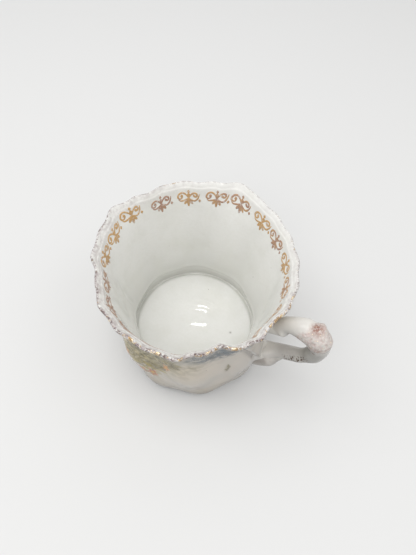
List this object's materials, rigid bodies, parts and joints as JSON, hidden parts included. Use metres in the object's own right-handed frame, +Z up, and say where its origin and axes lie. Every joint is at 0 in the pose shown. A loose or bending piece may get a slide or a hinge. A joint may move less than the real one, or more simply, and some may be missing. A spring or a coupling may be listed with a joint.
{
  "type": "demitasse cup",
  "caption": "Small porcelain cup with a lobed bowl, scalloped gilt lip, spreading foot, twig-shaped loop handle with a moulded leaf, and a gilt stencil border inside.",
  "frame": {"origin": "middle of the foot ring, on the table", "axes": "+Z up, +X towards the handle"},
  "size_m": [0.0832, 0.0678, 0.0579],
  "materials": {
    "porcelain": "glossy glaze over white porcelain",
    "bare_porcelain": "unglazed, fine matt grain",
    "gilding": "thin worn gold"
  },
  "bodies": {
    "root": {"bowl": "porcelain", "foot_ring": "bare_porcelain", "handle": "porcelain", "handle_leaf": "porcelain", "rim_gilding": "gilding", "inner_gilt_border": "gilding"}
  },
  "joints": []
}
